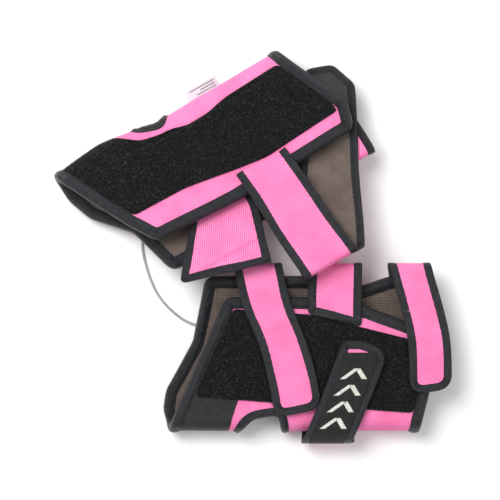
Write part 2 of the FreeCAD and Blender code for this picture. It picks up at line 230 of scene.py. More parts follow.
def pink_cloth(name, rib, lean):
    """Nylon cloth with fine slanted ribs: rib is their spacing in mm, and lean how they slant."""
    made = Shader(name)
    across, along, place = made.cloth()
    slant = (across + along * lean).waves(rib)
    cross = (along - across * lean).waves(rib * 0.8)
    weave = slant * 0.65 + cross * 0.35
    patchy = made.noise(place, 0.05, 3.0)
    fine = made.noise(place, 1.1, 3.0, 0.7)
    light = made.mix(patchy.between(0.3, 0.7), colour(0.93, 0.215, 0.47), colour(0.97, 0.285, 0.58))
    base = made.mix(weave.between(0.1, 0.65), colour(0.70, 0.085, 0.255), light)
    base = made.mix(fine.between(0.62, 0.86) * 0.35, base, colour(1.0, 0.34, 0.58))
    made.set(Base_Color=base, Roughness=0.62 - 0.14 * weave, Sheen_Weight=0.08, Sheen_Roughness=0.4,
             Sheen_Tint=colour(1.0, 0.6, 0.8), Specular_IOR_Level=0.3)
    made.bump(weave * 0.8 + fine * 0.35, 0.0003)
    return made.material


def tape_cloth(name, shade, gloss):
    """Satin binding tape: fine cross ribs and small puckers, with painted highlights on their tops and
    painted shade between them.
    """
    made = Shader(name)
    across, along, place = made.cloth()
    ribs = along.waves(0.55)
    twill = (along + across * 1.7).waves(0.8)
    pucker = made.noise(place, 0.22, 3.0, 0.6)
    fine = made.noise(place, 1.6, 2.0)
    # painted highlight on the pucker and rib tops and painted shade between them, put into the base colour
    painted_sheen = pucker.between(0.3, 0.72) * 0.75 + ribs * 0.25
    base = made.mix(painted_sheen, toned(shade, 0.4), toned(shade, 2.3))
    made.set(Base_Color=base, Roughness=gloss + 0.16 * pucker, Sheen_Weight=0.03, Sheen_Roughness=0.35,
             Specular_IOR_Level=0.42)
    made.bump(pucker * 1.4 + ribs * 0.22 + twill * 0.16 + fine * 0.15, 0.0005)
    return made.material


def mesh_cloth(pitch):
    """Open mesh lining over foam: a small square grid of holes, two of them to each pitch in mm."""
    made = Shader("mesh_cloth")
    across, along, place = made.cloth()
    wave = 2 * math.pi / pitch
    grid = ((across * wave).sine().size() * (along * wave).sine().size()).power(0.6)
    drift = made.noise(place, 0.08, 3.0)
    yarn = made.mix(drift.between(0.3, 0.7), colour(0.215, 0.155, 0.128), colour(0.300, 0.225, 0.190))
    base = made.mix(grid.between(0.3, 0.8), yarn, colour(0.040, 0.029, 0.024))
    made.set(Base_Color=base, Roughness=0.8, Sheen_Weight=0.06, Sheen_Roughness=0.5)
    made.bump(1 - grid, 0.0004)
    return made.material


def pile_cloth(name, tint):
    """Brushed loop pile: a mat of dark loops that catch the light in specks."""
    made = Shader(name)
    place = made.cloth()[2]
    clump = made.noise(place, 0.28, 4.0, 0.62)
    loops = made.noise(place, 1.9, 3.0, 0.75)
    base = made.mix(loops.between(0.42, 0.78), toned(tint, 0.35), toned(tint, 1.9))
    base = made.mix(clump.between(0.35, 0.75) * 0.5, base, colour(*tint))
    made.set(Base_Color=base, Roughness=0.85, Sheen_Weight=0.05, Sheen_Roughness=0.45,
             Specular_IOR_Level=0.2)
    made.bump(loops + clump * 0.7, 0.0012)
    return made.material


def hook_tape(pitch):
    """Moulded hook tape: rows of small dark hooks, at a pitch in metres."""
    made = Shader("hook_tape")
    across, along = made.split(made.add("ShaderNodeTexCoord", output="Object"))
    hooks = across.waves(pitch) * along.waves(pitch)
    base = made.mix(hooks, colour(0.012, 0.012, 0.014), colour(0.06, 0.06, 0.065))
    made.set(Base_Color=base, Roughness=0.5)
    made.bump(hooks, 0.0006)
    return made.material


def plain_cloth(name, dark, pale, scale, rough):
    """A woven or moulded finish with a slow drift of tone and a fine grain."""
    made = Shader(name)
    place = made.add("ShaderNodeTexCoord", output="Object")
    drift = made.noise(place, scale, 4.0)
    grain = made.noise(place, scale * 12, 2.0)
    made.set(Base_Color=made.mix(drift.between(0.3, 0.7), colour(*dark), colour(*pale)),
             Roughness=rough + 0.12 * drift)
    made.bump(grain, 0.0001)
    return made.material


PINK = pink_cloth("pink_ribbed_nylon", 1.5, 0.55)
PINK_WEBBING = pink_cloth("pink_strap_nylon", 1.7, -0.6)
BINDING = tape_cloth("binding_satin", (0.0062, 0.0068, 0.0094), 0.26)
SMOOTH = tape_cloth("smooth_black_band", (0.0075, 0.0075, 0.0090), 0.40)
LINING = mesh_cloth(2.4)
PILE = pile_cloth("black_loop_pile", (0.0045, 0.0045, 0.0050))
TUFT = plain_cloth("pile_loops", (0.0012, 0.0012, 0.0014), (0.085, 0.085, 0.094), 620, 0.4)
HOOK = hook_tape(1.3 * MM)
THREAD = plain_cloth("sewing_thread", (0.012, 0.0125, 0.015), (0.036, 0.037, 0.042), 400, 0.5)
BADGE = tape_cloth("woven_badge", (0.0055, 0.0055, 0.006), 0.55)
MARK = plain_cloth("woven_mark", (0.50, 0.53, 0.47), (0.66, 0.68, 0.62), 500, 0.6)
PLASTIC = plain_cloth("loop_nylon", (0.26, 0.27, 0.30), (0.36, 0.37, 0.40), 60, 0.32)
STAY = plain_cloth("stay_sheet", (0.50, 0.50, 0.47), (0.62, 0.62, 0.58), 40, 0.5)
PAPER = plain_cloth("label_satin", (0.62, 0.58, 0.62), (0.72, 0.69, 0.72), 60, 0.5)
INK = plain_cloth("label_print", (0.22, 0.22, 0.23), (0.32, 0.32, 0.33), 200, 0.6)

# ---- sheets taken from the frame


class Brace:
    """One brace's own directions: u along its fold, v from fold to slit, w up through it."""

    def __init__(self, side, fold_axis):
        self.side = side
        plate = max(NODES[f"{side}_splint"].data.polygons, key=lambda face: face.area)
        self.w = plate.normal * (1 if plate.normal.z > 0 else -1)
        self.u = Vector(fold_axis).normalized()
        self.v = self.u.cross(self.w) * (1 if side == "left" else -1)

    def local(self, point):
        return point.dot(self.u), point.dot(self.v), point.dot(self.w)

    def world(self, v, w):
        """A direction given across the fold."""
        return self.v * v + self.w * w


RIGHT = Brace("right", JOINTS["right_centre_strap_peel"]["axis"])
LEFT = Brace("left", [-x for x in JOINTS["left_flap_open"]["axis"]])
SHARPEST = 1.0  # the widest angle, in radians, between two faces of one smooth side
SAMPLE = 0.5 * MM  # spacing of the spots taken on a side's edges
SAME_SPOT = 0.25 * MM  # spots in one square of this size count as one
NEIGHBOUR = 1.3 * MM  # how far apart two neighbouring spots of a section may be
SECTION_STEP = 1.0 * MM  # spacing of a section's points as found
STEP = 0.4 * MM  # and as resampled
RUN_ON = 12 * MM  # how far a section goes on straight past its ends
ON_LINE = 0.3 * MM  # a rim's point this near to where the layers meet lies on it
FOLD_GAP = 2 * MM  # rims that end this near to the meeting line
END_GAP = 9 * MM  # and this near to each other are one rim
DRIFT_REACH = 34 * MM  # how far from the fold its wandering is felt
CREASE_WIDTH = 1.1 * MM
FLOOR_GAP = 0.02 * MM  # nothing sinks lower than this above the table


def skin_faces(mesh, facing):
    """The faces of one smooth side of a layer, spread out from its outermost face."""
    flat = [face for face in mesh.faces if face.normal.dot(facing) > 0.99]
    seed = max(flat, key=lambda face: (round(face.calc_center_median().dot(facing), 4), face.calc_area()))
    found, waiting = {seed}, [seed]
    while waiting:
        face = waiting.pop()
        for edge in face.edges:
            for other in edge.link_faces:
                if other not in found and face.normal.angle(other.normal, 0) < SHARPEST:
                    found.add(other)
                    waiting.append(other)
    return found, seed


def walked(points, start):
    """How far each point lies from start, going only between near neighbours."""
    gaps = np.linalg.norm(points[:, None] - points[None], axis=2)
    near = [np.nonzero(row < NEIGHBOUR)[0] for row in gaps]
    reach = np.full(len(points), 1e3)
    reach[start] = 0.0
    waiting = [(0.0, start)]
    while waiting:
        run, i = heapq.heappop(waiting)
        if run > reach[i]:
            continue
        for j in near[i]:
            if run + gaps[i, j] < reach[j] - 1e-9:
                reach[j] = run + gaps[i, j]
                heapq.heappush(waiting, (reach[j], int(j)))
    return reach


def section_chain(faces, brace):
    """The bent section of a skin as points in order, and how far along it each of them is."""
    spots = {}
    for edge in {edge for face in faces for edge in face.edges}:
        a, b = (np.array(brace.local(vertex.co)[1:]) for vertex in edge.verts)
        count = max(1, math.ceil(np.linalg.norm(b - a) / SAMPLE))
        for k in range(count + 1):
            spot = a + (b - a) * k / count
            spots[tuple(np.round(spot / SAME_SPOT).astype(int))] = spot
    points = np.array(list(spots.values()))
    first = int(np.argmax(walked(points, 0)))
    reach = walked(points, first)
    line = [points[first]]
    for low in np.arange(SECTION_STEP / 2, reach.max() - 0.8 * SECTION_STEP, SECTION_STEP):
        here = (reach >= low) & (reach < low + SECTION_STEP)
        if here.any():
            line.append(points[here].mean(0))
    line.append(points[int(np.argmax(reach))])
    line = np.array(line)
    runs = np.concatenate([[0], np.cumsum(np.linalg.norm(np.diff(line, axis=0), axis=1))])
    return line, runs


def rim_loop(faces, brace, reach):
    """The longest edge loop of a skin, as (u, distance along the section)."""
    following = {}
    for face in faces:
        for loop in face.loops:
            if not any(other in faces for other in loop.edge.link_faces if other is not face):
                following[loop.vert] = loop.link_loop_next.vert
    best = []
    while following:
        start = next(iter(following))
        ring, at = [], start
        while at in following:
            ring.append(at)
            at = following.pop(at)
        if len(ring) > len(best):
            best = ring
    return np.array([(brace.local(vertex.co)[0], reach[vertex]) for vertex in best])


def averaged(padded, half):
    """Each point with half of them to either side, as one mean. Both ends have half points to spare."""
    count = len(padded) - 2 * half
    return sum(padded[half + k:half + k + count] for k in range(-half, half + 1)) / (2 * half + 1)


def smooth_line(line, span, closed):
    """A line with its corners eased over span, sampled every millimetre."""
    run = np.concatenate([[0], np.cumsum(np.linalg.norm(np.diff(line, axis=0), axis=1))])
    count = max(8, int(run[-1] / MM))
    even = np.linspace(0, run[-1], count)
    dense = np.stack([np.interp(even, run, line[:, i]) for i in range(2)], 1)
    half = max(1, int(span / MM / 2))
    if closed:
        dense = dense[:-1]
        return sum(np.roll(dense, k, axis=0) for k in range(-half, half + 1)) / (2 * half + 1)
    before, after = 2 * dense[0] - dense[half:0:-1], 2 * dense[-1] - dense[-2:-half - 2:-1]
    return averaged(np.concatenate([before, dense, after]), half)


class Sheet:
    """A bent sheet of cloth found on one or two CAD layers. A place on it is (u, s, d): along the
    brace's fold, along the bent section (from where two layers meet), and out from the skin. parts holds
    (node, which way its outer side faces), ease and swell are mm by which corners are rounded and the
    cloth rises, and creases holds (s at u = 0, lean, depth)."""

    def __init__(self, brace, parts, ease=3.0, swell=0.35, seed=1):
        self.brace = brace
        self.swell = swell * MM
        self.creases = []
        self.drift = None
        self.phases = np.random.default_rng(seed).uniform(0, 6.28, 4)
        found = [self.read(node, side) for node, side in parts]
        if len(found) == 2:
            self.meet(*found)
        else:
            self.points, self.runs, self.loops = found[0][0], found[0][1], [found[0][2]]
        self.seed_run = found[0][3]
        self.facing = parts[0][1]
        self.two = len(found) == 2
        self.resample(ease)

    def read(self, node, side):
        mesh = bmesh.new()
        mesh.from_mesh(NODES[node].data)
        bmesh.ops.remove_doubles(mesh, verts=mesh.verts, dist=2e-6)
        faces, seed = skin_faces(mesh, self.brace.w * side)
        points, runs = section_chain(faces, self.brace)
        reach = {vertex: self.project(points, runs, np.array(self.brace.local(vertex.co)[1:]))
                 for vertex in {vertex for face in faces for vertex in face.verts}}
        loop = rim_loop(faces, self.brace, reach)
        seed_run = self.project(points, runs, np.array(self.brace.local(seed.calc_center_median())[1:]))
        mesh.free()
        return [points, runs, loop, seed_run]

    @staticmethod
    def project(points, runs, place):
        """How far along a section the point nearest to place lies."""
        best = (1e9, 0.0)
        for a, b, run in zip(points, points[1:], runs):
            share = np.clip(np.dot(place - a, b - a) / max(np.dot(b - a, b - a), 1e-18), 0, 1)
            gap = np.linalg.norm(a + share * (b - a) - place)
            best = min(best, (gap, run + share * np.linalg.norm(b - a)))
        return best[1]

    def flip(self, part):
        points, runs, loop, seed_run = part
        length = runs[-1]
        part[:] = [points[::-1], (length - runs)[::-1],
                   np.stack([loop[:, 0], length - loop[:, 1]], 1)[::-1], length - seed_run]

    def meet(self, first, second):
        """Puts two sections end to end, with 0 where the first one ends."""
        ends = [(np.linalg.norm(first[0][i] - second[0][j]), i, j) for i in (0, -1) for j in (0, -1)]
        gap, i, j = min(ends)
        if i == 0:
            self.flip(first)
        if j == -1:
            self.flip(second)
        length = first[1][-1]
        first[1] = first[1] - length
        first[2][:, 1] -= length
        first[3] -= length
        second[1] = second[1] + gap
        second[2][:, 1] += gap
        self.points = np.concatenate([first[0], second[0]])
        self.runs = np.concatenate([first[1], second[1]])
        self.loops = [first[2], second[2]]
        self.gap = gap

    def resample(self, ease):
        low, high = self.runs[0], self.runs[-1]
        self.low, self.high = low, high
        first, last = self.points[:2], self.points[-2:]
        lead = first[0] + (first[0] - first[1]) / (self.runs[1] - self.runs[0]) * RUN_ON
        trail = last[1] + (last[1] - last[0]) / (self.runs[-1] - self.runs[-2]) * RUN_ON
        runs = np.concatenate([[low - RUN_ON], self.runs, [high + RUN_ON]])
        points = np.concatenate([[lead], self.points, [trail]])
        self.at_run = np.arange(low - RUN_ON, high + RUN_ON, STEP)
        line = np.stack([np.interp(self.at_run, runs, points[:, i]) for i in range(2)], 1)
        half = max(1, int(ease * MM / STEP / 2))
        ends = np.repeat(line[:1], half, 0), np.repeat(line[-1:], half, 0)
        self.line = averaged(np.concatenate([ends[0], line, ends[1]]), half)
        along = np.gradient(self.line, axis=0)
        along /= np.linalg.norm(along, axis=1)[:, None]
        self.out = np.stack([-along[:, 1], along[:, 0]], 1)
        if self.out[np.argmin(abs(self.at_run - self.seed_run)), 1] * self.facing < 0:
            self.out = -self.out

    def rise(self, u, v):
        """The slow swelling of padded cloth, in metres, the same for every layer over one spot."""
        a, b, c, d = self.phases
        x, y = u / MM, v / MM
        waves = np.sin(x / 9.5 + a) * np.sin(y / 8.0 + b) * 0.40 + np.sin(x / 19.0 + y / 23.0 + c) * 0.45
        return self.swell * (waves + np.sin(y / 13.0 - x / 31.0 + d) * 0.35)

    def at(self, u, s, d):
        """Points in space for arrays of u, s and d."""
        u, s, d = (np.asarray(x, float) for x in np.broadcast_arrays(u, s, d))
        v, w = (np.interp(s, self.at_run, self.line[:, i]) for i in range(2))
        out_v, out_w = (np.interp(s, self.at_run, self.out[:, i]) for i in range(2))
        d = d + self.rise(u, v)
        for where, lean, depth in self.creases:
            d = d - depth * MM * np.exp(-((s - (where + lean * u / MM) * MM) / CREASE_WIDTH) ** 2)
        v, w = v + out_v * d, w + out_w * d
        if self.drift is not None:
            away = np.clip((v - self.fold_v) / DRIFT_REACH, 0, 1)
            v = v + np.interp(u - self.first_u, *self.drift) * (1 - away * away * (3 - 2 * away))
        axes = (self.brace.u, self.brace.v, self.brace.w)
        points = sum(x[..., None] * np.array(axis) for x, axis in zip((u, v, w), axes))
        points[..., 2] = np.maximum(points[..., 2], FLOOR_GAP)
        return points

    def rims(self, cut_start, ease=7.0):
        """The bound edges of the sheet, each as (points, whether it closes). Where the layers meet, and
        where the first layer starts if cut_start is true, there is no bound edge."""
        chains = []
        for loop in self.loops:
            open_at = [0.0, self.gap] if self.two else []
            if cut_start:
                open_at.append(self.low)
            flags = [any(abs(point[1] - level) < ON_LINE for level in open_at) for point in loop]
            count = len(loop)
            kept = [not (flags[i] and flags[(i + 1) % count]) for i in range(count)]
            if all(kept):
                chains.append((np.concatenate([loop, loop[:1]]), True))
                continue
            first = next(i for i in range(count) if kept[i] and not kept[i - 1])
            run = []
            for k in range(count):
                i = (first + k) % count
                if kept[i]:
                    run.append(loop[i])
                    if not kept[(i + 1) % count]:
                        run.append(loop[(i + 1) % count])
                        chains.append((np.array(run), False))
                        run = []
        return [(smooth_line(line, ease * MM, shut), shut) for line, shut in joined(chains)]


def meeting(chains):
    """Two open chains whose ends meet over the fold, as (their numbers, both run together)."""
    for (i, (a, a_shut)), (j, (b, b_shut)) in itertools.combinations(enumerate(chains), 2):
        if a_shut or b_shut:
            continue
        for second, first in itertools.product((b, b[::-1]), (a, a[::-1])):
            at_fold = max(abs(first[-1][1]), abs(second[0][1])) <= FOLD_GAP
            if at_fold and abs(first[-1][0] - second[0][0]) < END_GAP:
                return (i, j), np.concatenate([first, second])
    return None


def joined(chains):
    """Chains that end at the same side of the meeting line, run together."""
    found = meeting(chains)
    while found:
        pair, run = found
        shut = (abs(run[0][1]) < FOLD_GAP and abs(run[-1][1]) < FOLD_GAP
                and abs(run[0][0] - run[-1][0]) < END_GAP)
        chains = [chain for k, chain in enumerate(chains) if k not in pair]
        chains.append((np.concatenate([run, run[:1]]) if shut else run, shut))
        found = meeting(chains)
    return chains


def softened(stops, half):
    """Pairs of (place, shift) in mm as a curve in metres, eased over half mm to either side."""
    places, shifts = zip(*stops)
    even = np.arange(places[0], places[-1], 1.0)
    raw = np.interp(even, places, shifts)
    share = np.ones(2 * half + 1) / (2 * half + 1)
    eased = np.convolve(np.pad(raw, half, mode="edge"), share, mode="valid")
    return even * MM, eased * MM


def inside(ring, u, s):
    """Whether places lie inside a closed ring."""
    hit = np.zeros(np.shape(u), bool)
    for (u0, s0), (u1, s1) in zip(ring, np.roll(ring, -1, axis=0)):
        crosses = (s0 > s) != (s1 > s)
        with np.errstate(divide="ignore", invalid="ignore"):
            reach = (u1 - u0) * (s - s0) / (s1 - s0) + u0
        hit ^= crosses & (u < reach)
    return hit


def rows(ring, low, high, step, inset):
    """Level rows across a ring, short of its sides by inset: (s, from u, to u)."""
    found = []
    for s in np.arange(low, high + step / 2, step):
        spans = []
        for (u0, s0), (u1, s1) in zip(ring, np.roll(ring, -1, axis=0)):
            if (s0 > s) != (s1 > s):
                spans.append(u0 + (s - s0) / (s1 - s0) * (u1 - u0))
        if spans and max(spans) - min(spans) > 2.5 * inset:
            found.append((s, min(spans) + inset, max(spans) - inset))
    return found


def new_piece(name, points, faces, cloth, material, smooth=True):
    """A new mesh piece, whose points also carry their place on the flat cloth in mm."""
    mesh = bpy.data.meshes.new(name)
    mesh.from_pydata([tuple(p) for p in points], [], [tuple(int(i) for i in f) for f in faces])
    mesh.materials.append(material)
    mesh.update()
    layer = mesh.attributes.new("cloth", "FLOAT_VECTOR", "POINT")
    flat = np.zeros((len(points), 3), np.float32)
    flat[:, :2] = np.asarray(cloth)[:, :2]
    layer.data.foreach_set("vector", flat.ravel())
    if smooth:
        mesh.shade_smooth()
    piece = placed(name, mesh)
    outward(piece)
    return piece


def outward(piece):
    """Turns a piece's faces to look out of it."""
    mesh = bmesh.new()
    mesh.from_mesh(piece.data)
    bmesh.ops.recalc_face_normals(mesh, faces=mesh.faces)
    mesh.to_mesh(piece.data)
    mesh.free()


def slab(name, sheet, bands, top, bottom, material, hole=None, columns=110, under=None,
         within=None, turned=False):
    """A closed layer of cloth on a sheet, from rows of (s, from u, to u), or (u, from s, to s) if turned.
    Faces inside the hole or outside the ring within are left out, and it is closed off there. Its under
    side may have a finish of its own."""
    level, start, end = (np.array(column)[:, None] for column in zip(*bands))
    s = np.repeat(level, columns, 1)
    share = np.linspace(0, 1, columns)[None, :]
    u = start * (1 - share) + end * share
    if turned:
        u, s = s, u
    upper = sheet.at(u, s, top).reshape(-1, 3)
    lower = sheet.at(u, s, bottom).reshape(-1, 3)
    row_count, column_count = s.shape
    keep = np.ones((row_count - 1, column_count - 1), bool)
    spots = (u[:-1, :-1] + u[1:, 1:]) / 2, (s[:-1, :-1] + s[1:, 1:]) / 2
    if hole is not None:
        keep &= ~inside(hole, *spots)
    if within is not None:
        keep &= inside(within, *spots)
    faces, lower_side = [], []
    shift = row_count * column_count
    for r, c in zip(*np.nonzero(keep)):
        a = r * column_count + c
        ring = [a, a + 1, a + 1 + column_count, a + column_count]
        faces.append(ring)
        lower_side.append(len(faces))
        faces.append([i + shift for i in ring[::-1]])
        beside = [(r - 1, c, ring[0], ring[1]), (r, c + 1, ring[1], ring[2]),
                  (r + 1, c, ring[2], ring[3]), (r, c - 1, ring[3], ring[0])]
        for row, column, i, j in beside:
            if not (0 <= row < row_count - 1 and 0 <= column < column_count - 1 and keep[row, column]):
                faces.append([i, i + shift, j + shift, j])
    used = sorted({i for face in faces for i in face})
    lookup = {i: k for k, i in enumerate(used)}
    points = np.concatenate([upper, lower])[used]
    flat = np.concatenate([np.stack([u, s], -1).reshape(-1, 2)] * 2)[used] / MM
    piece = new_piece(name, points, [[lookup[i] for i in face] for face in faces], flat, material)
    if under:
        piece.data.materials.append(under)
        for i in lower_side:
            piece.data.polygons[i].material_index = 1
    return piece


def edge_normals(line, shut, hole):
    """Unit directions out of the cloth along an edge line."""
    if shut:
        along = np.roll(line, -1, 0) - np.roll(line, 1, 0)
    else:
        along = np.gradient(line, axis=0)
    along /= np.linalg.norm(along, axis=1)[:, None] + 1e-12
    out = np.stack([along[:, 1], -along[:, 0]], 1)
    turned = sum(np.einsum("ij,ij->i", out, line - line.mean(0)))
    if (turned < 0) != hole:
        out = -out
    return out


def tape_section(width, top, bottom, proud, edge):
    """A folded tape's cross-section: (out from the edge, out from the skin), closed round the edge."""
    outer = [(-width, top + 0.08 * proud), (-width + 0.35, top + 0.42 * proud),
             (-width + 1.05, top + 0.30 * proud), (-width + 1.7, top + 0.62 * proud),
             (-0.55 * width, top + 0.92 * proud), (-0.3 * width, top + proud),
             (-0.08 * width, top + 0.86 * proud), (0.55 * edge, top + 0.35 * proud),
             (edge, 0.7 * top + 0.3 * bottom)]
    middle = top + bottom
    return outer + [(a, middle - d) for a, d in outer[::-1]]


def bound_edge(name, sheet, line, shut, section, material, hole=False, seed=0):
    """A tape folded over an edge, with small puckers along it."""
    out = edge_normals(line, shut, hole)
    count, size = len(line), len(section)
    rng = np.random.default_rng(seed)
    a = np.array([p[0] for p in section]) * MM
    d = np.array([p[1] for p in section]) * MM
    middle = d.mean()
    run = np.arange(count)

    def waves(lengths):
        return sum(rng.uniform(0.4, 1) * np.sin(run * 2 * math.pi * round(count / length) / count
                                                + rng.uniform(0, 6)) for length in lengths)

    pucker = waves((5, 7, 11, 17)) * 0.035
    wander = waves((40, 63)) * 0.16 * MM
    reach = a[None, :] + np.where(a < -2.5 * MM, 1.0, 0.3)[None, :] * wander[:, None]
    height = middle + (d - middle)[None, :] * (1 + pucker[:, None])
    u = line[:, 0, None] + out[:, 0, None] * reach
    s = line[:, 1, None] + out[:, 1, None] * reach
    points = sheet.at(u, s, height).reshape(-1, 3)
    faces = []
    for i in range(count if shut else count - 1):
        for k in range(size):
            j, n = (i + 1) % count, (k + 1) % size
            faces.append([i * size + k, j * size + k, j * size + n, i * size + n])
    if not shut:
        faces.append(list(range(size)))
        faces.append([(count - 1) * size + k for k in range(size)][::-1])
    across = np.concatenate([[0], np.cumsum(np.hypot(np.diff(a), np.diff(d)))]) / MM
    flat = np.stack([np.tile(across, count), np.repeat(run, size)], 1)
    return new_piece(name, points, faces, flat, material)


def stitches(name, sheet, line, shut, inset, heights, hole=False, pitch=3.0, long=1.9, thick=0.2):
    """A row of thread stitches on each face of a bound edge."""
    out = edge_normals(line, shut, hole)
    points, faces, flat = [], [], []
    sides = 5
    rings = ((-0.5, 0.35), (-0.32, 0.9), (0.32, 0.9), (0.5, 0.35))  # (along the stitch, how fat there)
    for height in heights:
        for start in np.arange(1.0, len(line) - 2, pitch):
            places = np.array([start + share * long for share, _ in rings]) + long / 2
            u, s, out_u, out_s = (np.interp(places, np.arange(len(line)), x)
                                  for x in (line[:, 0], line[:, 1], out[:, 0], out[:, 1]))
            base = len(points)
            for k, (_, fat) in enumerate(rings):
                for q in range(sides):
                    turn = 2 * math.pi * q / sides
                    side = -inset * MM + thick * fat * MM * math.cos(turn)
                    lift = height * MM + thick * fat * MM * math.sin(turn)
                    points.append(sheet.at(u[k] + out_u[k] * side, s[k] + out_s[k] * side, lift))
                    flat.append((q, k))
            for k in range(len(rings) - 1):
                for q in range(sides):
                    n = (q + 1) % sides
                    faces.append([base + k * sides + q, base + k * sides + n,
                                  base + (k + 1) * sides + n, base + (k + 1) * sides + q])
            faces.append([base + q for q in range(sides)][::-1])
            faces.append([base + (len(rings) - 1) * sides + q for q in range(sides)])
    return new_piece(name, points, faces, np.array(flat, float), THREAD)


# ---- the padded wraps

COVER = 0.6  # millimetres of cover over the foam, and of lining under it
DEPTH = 3.9  # from the lining's outer side up to the cover's outside
TAPE_WIDTH = 6.6
NOTCH_TAPE = 4.4
TAPE_PROUD = 1.5  # how far a tape stands out from the cloth, and past its edge
THREAD_IN = 1.05  # from the tape's inner side to its stitches
THREAD_UP = 0.42  # the stitches' height as a share of how far the tape stands out
FLAP = "left_flap"
FOLD_DRIFT = ((0, -0.5), (18, -3.5), (38, -5.2), (56, -3.0), (74, 0.6), (92, 1.6), (125, 0.4), (178, -1.0))
DRIFT_EASE = 8

BAND_SPAN = 26 * MM  # how far the hand band reaches from the fold to either side
BAND_SLANT = 9 * MM  # how much shorter it is at the fold
BAND_TOP = 0.3  # above the cover
BAND_BOTTOM = -0.2

PILE_TOP = -0.45  # the pile's mat, under the CAD patch's skin
PILE_BOTTOM = -1.5
TUFTS_PER_MM2 = 2.4


def hang(piece, brace):
    """Puts a wrap's piece on its body. The right one stays on the braces. The left one is only baked where
    it lies, with no bend over the flap's hinge."""
    if brace is RIGHT:
        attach(piece, "braces")
        return
    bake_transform(piece)


def set_drift(sheet):
    """Lets the left brace's fold wander, as its hand end bows out ahead of the thumb notch."""
    spots = [sheet.brace.local(vertex.co) for vertex in NODES["left_front_lining"].data.vertices]
    sheet.first_u = min(spot[0] for spot in spots)
    sheet.fold_v = min(spot[1] for spot in spots)
    sheet.drift = softened(FOLD_DRIFT, DRIFT_EASE)


def make_wrap(brace):
    """One padded wrap: its cover, lining and hand band, with both edges bound and stitched."""
    side = brace.side
    sheet = Sheet(brace, [(f"{side}_front_lining", 1), (f"{side}_back_lining", -1)], ease=4.0, swell=0.5,
                  seed=3 if side == "left" else 4)
    if side == "left":
        set_drift(sheet)
    edges = sorted(sheet.rims(cut_start=False), key=lambda edge: -len(edge[0]))
    outline, notch = edges[0][0], edges[1][0]
    bands = rows(outline, sheet.low + 0.8 * MM, sheet.high - 0.8 * MM, 1.5 * MM, 0.8 * MM)
    cover = slab(f"{side}_cover", sheet, bands, DEPTH * MM, (DEPTH - COVER) * MM, PINK, notch,
                 within=outline)
    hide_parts(f"{side}_front_cover", f"{side}_back_cover", f"{side}_front_foam",
                f"{side}_back_foam")
    lining = slab(f"{side}_lining", sheet, bands, 0.0, -COVER * MM, LINING, notch, within=outline)
    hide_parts(f"{side}_front_lining", f"{side}_back_lining")
    pieces = [cover, lining, hand_band(sheet, outline, notch)]
    kinds = (("edge", TAPE_WIDTH, False, 5), ("thumb", NOTCH_TAPE, True, 6))
    lift = THREAD_UP * TAPE_PROUD
    for (line, shut), (kind, width, hole, seed) in zip(edges, kinds):
        section = tape_section(width, DEPTH, -COVER, TAPE_PROUD, TAPE_PROUD)
        tape = bound_edge(f"{side}_{kind}_binding", sheet, line, shut, section, BINDING, hole, seed)
        sewn = stitches(f"{side}_{kind}_stitches", sheet, line, shut, width - THREAD_IN,
                        (DEPTH + lift, -COVER - lift), hole)
        if kind == "edge":
            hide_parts(f"{side}_front_binding", f"{side}_back_binding")
        pieces += [tape, sewn]
    for piece in pieces:
        hang(piece, brace)
    return sheet


def hand_band(sheet, outline, notch):
    """The smooth black band that wraps the fold at the hand end."""
    side = sheet.brace.side
    solid = NODES[f"{side}_front_hand_band"].data
    reach = max(sheet.brace.local(vertex.co)[0] for vertex in solid.vertices)
    bands = [(s, low, min(high, reach - BAND_SLANT * max(0, 1 - abs(s) / BAND_SPAN)))
             for s, low, high in rows(outline, -BAND_SPAN, BAND_SPAN, 1.3 * MM, 0.9 * MM)]
    piece = slab(f"{side}_hand_band", sheet, bands, (DEPTH + BAND_TOP) * MM, (DEPTH + BAND_BOTTOM) * MM,
                 SMOOTH, notch, columns=44)
    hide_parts(f"{side}_front_hand_band", f"{side}_back_hand_band")
    return piece


def make_pile(brace, wrap_sheet):
    """The loop pile patch: a mat with thousands of small leaning loops standing on it."""
    side = brace.side
    sheet = Sheet(brace, [(f"{side}_pile_patch", 1)], ease=2.0, swell=0.5)
    sheet.phases = wrap_sheet.phases
    if side == "left":
        set_drift(sheet)
    ring = sheet.rims(cut_start=False)[0][0]
    ring_low, ring_high = ring[:, 0].min(), ring[:, 0].max()
    bands = rows(ring[:, ::-1], ring_low + 0.3 * MM, ring_high - 0.3 * MM, 1.2 * MM, 0.2 * MM)
    mat = slab(f"{side}_pile_mat", sheet, bands, PILE_TOP * MM, PILE_BOTTOM * MM, PILE, columns=70,
               turned=True)
    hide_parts(f"{side}_pile_patch")
    loops = tufts(f"{side}_pile_loops", sheet, ring, TUFTS_PER_MM2, 17 if side == "left" else 18)
    for piece in (mat, loops):
        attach(piece, FLAP if side == "left" else "braces")


